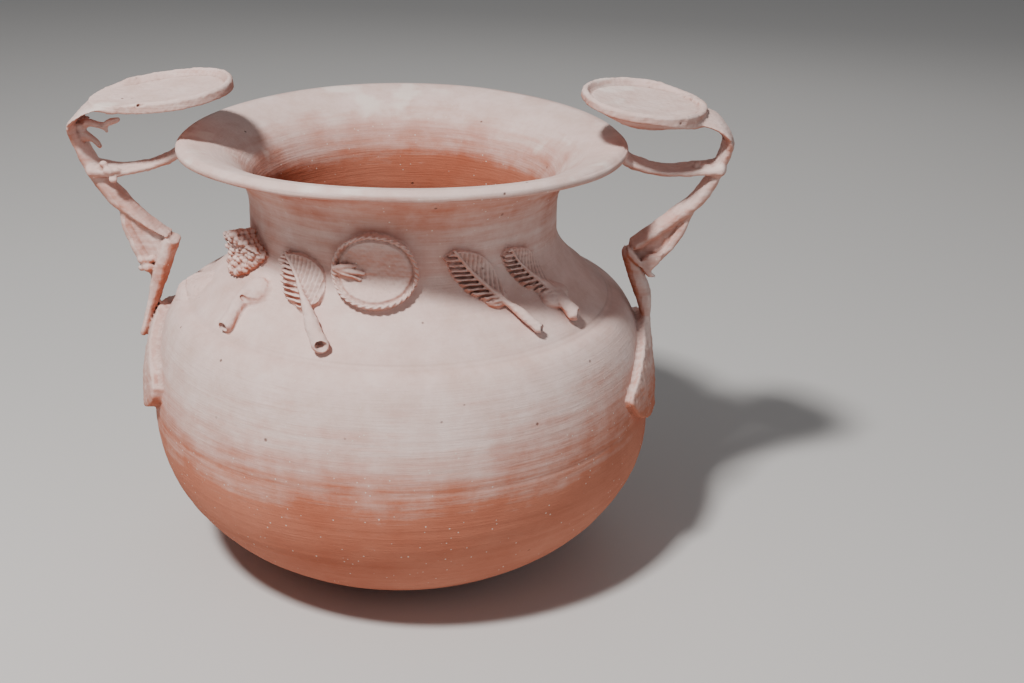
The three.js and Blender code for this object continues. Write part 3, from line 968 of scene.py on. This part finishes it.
def make_grapes():
    """Wedge-shaped bunch, a raised slab packed with small uneven grapes."""
    bunch = Ornament("grapes", -65, 343, (-46, -42), (50, 42), 36)
    corners = [(39, 9), (12, -21), (-11, -29), (-22, -6), (-22, 16), (3, 27)]
    line = np.array(corners + corners[:1], float) * MM
    edges = list(zip(line, line[1:]))

    def past(edge, x, y):
        """Above zero on the outer side of one of the slab's edges."""
        a, b = edge
        return (b[0] - a[0]) * (y - a[1]) - (b[1] - a[1]) * (x - a[0])

    def lift(x, y):
        """The bunch stands off the neck towards its upper left."""
        return np.clip(15 * MM - 0.3 * x + 0.45 * y, 6 * MM, 23 * MM)

    def slab(x, y, z):
        distance, _, _ = nearest(line, x[:, :, 0], y[:, :, 0])
        inside = np.ones(distance.shape, bool)
        for edge in edges:
            inside &= past(edge, x[:, :, 0], y[:, :, 0]) < 0
        flat = np.where(inside, -distance, distance)[:, :, None]
        return cut(z - lift(x, y) + 0 * flat, flat, 2 * MM)

    bunch.add(slab)
    chance = np.random.default_rng(7)
    for row in range(10):
        for column in range(12):
            x = -38 + 6.6 * column + 3.3 * (row % 2) + chance.uniform(-1.2, 1.2)
            y = -30 + 6.0 * row + chance.uniform(-1.2, 1.2)
            out = lift(x * MM, y * MM) / MM + chance.uniform(-1.4, 1.2)
            size = chance.uniform(2.6, 3.7)
            if max(past(edge, x * MM, y * MM) for edge in edges) > 0:
                continue
            box = ([x * MM - 8 * MM, y * MM - 8 * MM, 0], [x * MM + 8 * MM, y * MM + 8 * MM, 36 * MM])
            bunch.add(ball((x * MM, y * MM, out * MM), size * MM), 0.4, *box)

    # Grapes down the slab's sides
    for (ax, ay), (bx, by) in zip(corners, corners[1:] + corners[:1]):
        steps = max(2, round(math.hypot(bx - ax, by - ay) / 6.2))
        for i in range(steps):
            x = ax + (bx - ax) * (i + chance.uniform(0.2, 0.8)) / steps
            y = ay + (by - ay) * (i + chance.uniform(0.2, 0.8)) / steps
            top = lift(x * MM, y * MM) / MM
            for out in np.arange(3, top, 5.6):
                size = chance.uniform(2.8, 3.8)
                spot = (0.96 * x * MM, 0.96 * y * MM, (out + chance.uniform(-0.8, 0.8)) * MM)
                bunch.add(ball(spot, size * MM), 0.4, [c - 8 * MM for c in spot], [c + 8 * MM for c in spot])
    return bunch.finish(70, 0.15, 0.15)


def make_bud():
    """Bulb on a short hollow stalk, with a crease below the bulb on its right."""
    bud = Ornament("bud", -48.5, 316, (-34, -46), (36, 36))
    bud.add(ball((2 * MM, 11 * MM, 1 * MM), [17 * MM, 14 * MM, 9 * MM]), 1)
    stalk = np.array([(-2, 8, 3), (-3, -8, 3.5), (4, -34, 4.5)]) * MM
    bud.add(rod(stalk, [8, 6.5, 7]), 5)
    crease = np.array([(0, -4, 8), (8, -4, 5), (17, 0, 3)]) * MM
    bud.carve(rod(crease, [1.5, 3, 1.5]), 1.5)
    bore = np.array([(4, -31, 7), (6, -42, 7)]) * MM
    bud.carve(rod(bore, [2.6, 4.6]), 1)
    return bud.finish(71, 0.25, 0.12, fillet=5)


def make_mound():
    """Low worn lump on the left shoulder."""
    mound = Ornament("mound", -85, 289, (-40, -34), (40, 34))
    mound.add(ball((0, 0, 0), [22 * MM, 16 * MM, 9 * MM]), 1)
    mound.add(ball((12 * MM, 10 * MM, 0), [14 * MM, 12 * MM, 5 * MM]), 5)
    return mound.finish(75, 0.35, 0.15, fillet=9)


# Materials


def terracotta():
    # The clay's colour holds painted light and shade besides its dust
    material = bpy.data.materials.new("dusty_terracotta_painted_shade")
    material.use_nodes = True
    nodes, links = material.node_tree.nodes, material.node_tree.links
    shader = nodes["Principled BSDF"]
    shader.inputs["Roughness"].default_value = 0.92
    shader.inputs["Specular IOR Level"].default_value = 0.25

    def add(kind, **values):
        node = nodes.new(kind)
        for key, value in values.items():
            if key in node.inputs:
                node.inputs[key].default_value = value
            else:
                setattr(node, key, value)
        return node

    place = add("ShaderNodeTexCoord").outputs["Object"]

    def stretched(scale):
        node = add("ShaderNodeMapping")
        node.inputs["Scale"].default_value = scale
        links.new(place, node.inputs["Vector"])
        return node.outputs["Vector"]

    def noise(scale, detail, rough, stretch=(1, 1, 1)):
        node = add("ShaderNodeTexNoise", Scale=scale, Detail=detail, Roughness=rough)
        links.new(stretched(stretch), node.inputs["Vector"])
        return node.outputs["Fac"]

    def ramp(source, stops):
        node = add("ShaderNodeValToRGB")
        elements = node.color_ramp.elements
        while len(elements) < len(stops):
            elements.new(0.5)
        for element, (spot, colour) in zip(elements, stops):
            element.position = spot
            element.color = (*colour, 1) if isinstance(colour, tuple) else (colour, colour, colour, 1)
        links.new(source, node.inputs["Fac"])
        return node.outputs["Color"]

    def mix(factor, first, second, mode="MIX"):
        node = add("ShaderNodeMix", data_type="RGBA", blend_type=mode)
        for socket, value in (("Factor", factor), ("A", first), ("B", second)):
            target = [s for s in node.inputs if s.name == socket and s.enabled][0]
            if isinstance(value, bpy.types.NodeSocket):
                links.new(value, target)
            else:
                target.default_value = value
        return [s for s in node.outputs if s.enabled][0]

    def math_node(kind, first, second):
        node = add("ShaderNodeMath", operation=kind)
        for socket, value in zip(node.inputs, (first, second)):
            if isinstance(value, bpy.types.NodeSocket):
                links.new(value, socket)
            else:
                socket.default_value = value
        return node.outputs[0]

    def times(first, second):
        return math_node("MULTIPLY", first, second)

    def voronoi_dots(scale, spread, share_kept):
        """Round dots at some of the cells of a Voronoi pattern."""
        cells = add("ShaderNodeTexVoronoi", Scale=scale, Randomness=1)
        links.new(place, cells.inputs["Vector"])
        dots = ramp(cells.outputs["Distance"], [(spread[0], 1.0), (spread[1], 0.0)])
        chosen = ramp(cells.outputs["Color"], [(share_kept[0], 0.0), (share_kept[1], 1.0)])
        return mix(1.0, dots, chosen, "MULTIPLY")

    # Fired clay, redder in patches
    clay = ramp(noise(7, 5, 0.6), [(0.3, (0.42, 0.118, 0.064)), (0.7, (0.58, 0.220, 0.140))])

    # Pale dust in streaks along the wheel's turn, mixed with painted light and shade: paler on
    # what faces up, darker towards the bottom, with painted shade in the throat and on the lower right belly
    split = add("ShaderNodeSeparateXYZ")
    links.new(place, split.inputs[0])
    x, y, z = (split.outputs[axis] for axis in "XYZ")
    geometry = add("ShaderNodeNewGeometry")
    facing = add("ShaderNodeSeparateXYZ")
    links.new(geometry.outputs["Normal"], facing.inputs[0])
    normal_x, normal_y, normal_z = (facing.outputs[axis] for axis in "XYZ")

    def share(source, low, high, low_value=0.0, high_value=1.0):
        node = add("ShaderNodeMapRange", interpolation_type="SMOOTHSTEP")
        ends = {"From Min": low, "From Max": high, "To Min": low_value, "To Max": high_value}
        for socket, value in ends.items():
            node.inputs[socket].default_value = value
        links.new(source, node.inputs["Value"])
        return node.outputs["Result"]

    across = times(x, x)
    along = times(y, y)
    reach = math_node("SQRT", math_node("ADD", across, along), 0.0)
    inward_x = times(x, normal_x)
    inward_y = times(y, normal_y)
    inward = share(math_node("ADD", inward_x, inward_y), -0.06, -0.005, 1, 0)
    # Painted shade inside the trumpet and down the neck, where the wall faces the axis
    throat_shade = times(share(reach, 0.150, 0.205, 1, 0), inward)
    neck_shade = times(share(z, 0.372, 0.400, 1, 0), inward)
    # Paler on what faces up, partly dust and partly painted light from above; paler higher up and darker
    # towards the bottom
    dust_and_shading_cover = share(normal_z, -0.75, 0.85, 0.0, 0.62)
    dust_and_shading_cover = math_node("ADD", dust_and_shading_cover, share(z, 0.10, 0.27, -0.25, 0.34))
    # Painted shade on the belly's lower right side, turned away from the key light
    right_side_shade = times(share(x, 0.08, 0.25), share(z, 0.20, 0.29, 1, 0))
    dust_and_shading_cover = math_node("SUBTRACT", dust_and_shading_cover, times(right_side_shade, 0.25))
    dust_and_shading_cover = math_node("ADD", dust_and_shading_cover, share(noise(9, 6, 0.65, (1, 1, 14)), 0.25, 0.75, -0.15, 0.15))
    dust_and_shading_cover = math_node("ADD", dust_and_shading_cover, share(noise(14, 6, 0.7), 0.25, 0.75, -0.16, 0.16))
    dust_and_shading_cover = math_node("SUBTRACT", dust_and_shading_cover, times(throat_shade, 0.38))
    dust_and_shading_cover = math_node("SUBTRACT", dust_and_shading_cover, times(neck_shade, 0.25))
    dust_and_shading = ramp(dust_and_shading_cover, [(0.12, 0.0), (0.78, 0.96)])
    pale = ramp(noise(30, 6, 0.7), [(0.3, (0.66, 0.47, 0.42)), (0.7, (0.80, 0.63, 0.59))])
    colour = mix(dust_and_shading, clay, pale)

    # Whitish stains round the rim's inside and on the shoulder
    stain = ramp(noise(19, 3, 0.5), [(0.60, 0.0), (0.68, 1.0)])
    stained = times(stain, share(z, 0.26, 0.42, 0.0, 0.6))
    stained = times(stained, share(normal_z, 0.2, 0.6))
    colour = mix(stained, colour, (0.86, 0.76, 0.70, 1))

    # Pale specks and dark pits of the coarse clay
    specks = voronoi_dots(260, (0.14, 0.24), (0.80, 0.84))
    colour = mix(specks, colour, (0.75, 0.62, 0.55, 1))
    all_pits = voronoi_dots(95, (0.10, 0.17), (0.86, 0.88))
    for angle, height, size in ((-25, 221, 2.6), (12, 249, 2.2), (33, 234, 2.4), (17, 262, 1.8)):
        centre = round_pot(math.radians(angle), *wall_place(length_at(height * MM), 0))
        apart = add("ShaderNodeVectorMath", operation="DISTANCE")
        links.new(place, apart.inputs[0])
        apart.inputs[1].default_value = tuple(centre)
        hole = share(apart.outputs["Value"], 0.5 * size * MM, size * MM, 1, 0)
        all_pits = math_node("MAXIMUM", all_pits, hole)
    colour = mix(times(all_pits, 0.75), colour, (0.12, 0.05, 0.035, 1))

    # Painted shade in hollows: darker where the surface curves inward
    hollow = ramp(geometry.outputs["Pointiness"], [(0.44, 1.0), (0.495, 0.0)])
    colour = mix(times(hollow, 0.55), colour, (0.20, 0.075, 0.05, 1))
    links.new(colour, shader.inputs["Base Color"])

    # Grain and fine turning lines
    grain = times(noise(420, 4, 0.7), 0.35)
    sand = times(noise(120, 5, 0.65), 0.6)
    lines = times(noise(60, 4, 0.6, (0.35, 0.35, 9)), 0.9)
    relief = math_node("ADD", math_node("ADD", grain, sand), lines)
    relief = math_node("SUBTRACT", relief, all_pits)
    bump = add("ShaderNodeBump", Strength=0.55, Distance=0.0012)
    links.new(relief, bump.inputs["Height"])
    links.new(bump.outputs["Normal"], shader.inputs["Normal"])
    return material


def studio():
    """Plain pale floor, soft light and the camera at the photo's angle."""
    bpy.ops.mesh.primitive_plane_add(size=12, location=(0, 0, 0))
    floor = bpy.context.object
    floor.name = "floor"
    material = bpy.data.materials.new("floor_paper")
    material.use_nodes = True
    material.node_tree.nodes["Principled BSDF"].inputs["Base Color"].default_value = (0.62, 0.61, 0.60, 1)
    material.node_tree.nodes["Principled BSDF"].inputs["Roughness"].default_value = 0.9
    floor.data.materials.append(material)

    def area(name, place, size, power, colour):
        light = bpy.data.lights.new(name, "AREA")
        light.size = size
        light.energy = power
        light.color = colour
        lamp = bpy.data.objects.new(name, light)
        lamp.location = place
        aim = Vector((0, 0, 0.25)) - Vector(place)
        lamp.rotation_euler = aim.to_track_quat("-Z", "Y").to_euler()
        bpy.context.scene.collection.objects.link(lamp)

    area("key", (-0.86, -1.55, 2.80), 0.34, 132, (1.0, 0.975, 0.95))
    area("fill", (2.2, -1.8, 1.3), 2.0, 7, (0.97, 0.97, 1.0))
    area("back", (0.3, 2.2, 1.8), 2.0, 8, (1.0, 0.98, 0.95))
    world = bpy.data.worlds.new("studio")
    bpy.context.scene.world = world
    world.use_nodes = True
    world.node_tree.nodes["Background"].inputs["Color"].default_value = (0.80, 0.82, 0.85, 1)
    world.node_tree.nodes["Background"].inputs["Strength"].default_value = 0.16

    data = bpy.data.cameras.new("camera")
    data.lens = CAMERA_LENS
    data.sensor_width = SENSOR_WIDTH
    camera = bpy.data.objects.new("camera", data)
    pitch, roll = math.radians(CAMERA_PITCH), math.radians(CAMERA_ROLL)
    forward = Vector((0, math.cos(pitch), -math.sin(pitch)))
    level = Vector((1, 0, 0))
    upward = Vector((0, math.sin(pitch), math.cos(pitch)))
    right = math.cos(roll) * level + math.sin(roll) * upward
    up = -math.sin(roll) * level + math.cos(roll) * upward
    camera.matrix_world = Matrix.Translation(CAMERA_PLACE) @ Matrix(
        [[right[i], up[i], -forward[i]] for i in range(3)]
    ).to_4x4()
    bpy.context.scene.collection.objects.link(camera)
    bpy.context.scene.camera = camera


# Lumps of clay at the right frond's foot: place and half sizes, in millimetres
RIGHT_FROND_LOBES = [((-4, -10, 1), (16, 14, 9)), ((3, -14, 2), (12, 9, 8))]

pieces = [
    make_wall(),
    make_handle("handle_left", LEFT),
    make_handle("handle_right", RIGHT),
    make_saucer("saucer_left", LEFT),
    make_saucer("saucer_right", RIGHT),
    make_medallion(),
    make_frond("frond_left", -26, 324, 41, 60, (20, 28), (-5, 50, 6.8), 61, notch=[(13, 3, 5), (25, 11, 4)]),
    make_frond("frond_middle", 35, 329, 38, 66, (17, 22), (-11, 46, 4.6), 63, [((-3, -2, 1), (11, 6, 5))]),
    make_frond("frond_right", 55, 325, 36, 62, (15, 24), (-20, 32, 6.4), 65, RIGHT_FROND_LOBES),
    make_grapes(),
    make_bud(),
    make_mound(),
]
clay_body = terracotta()
for piece in pieces:
    piece.data.materials.append(clay_body)
    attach(piece, "root")
    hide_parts("vase")

studio()
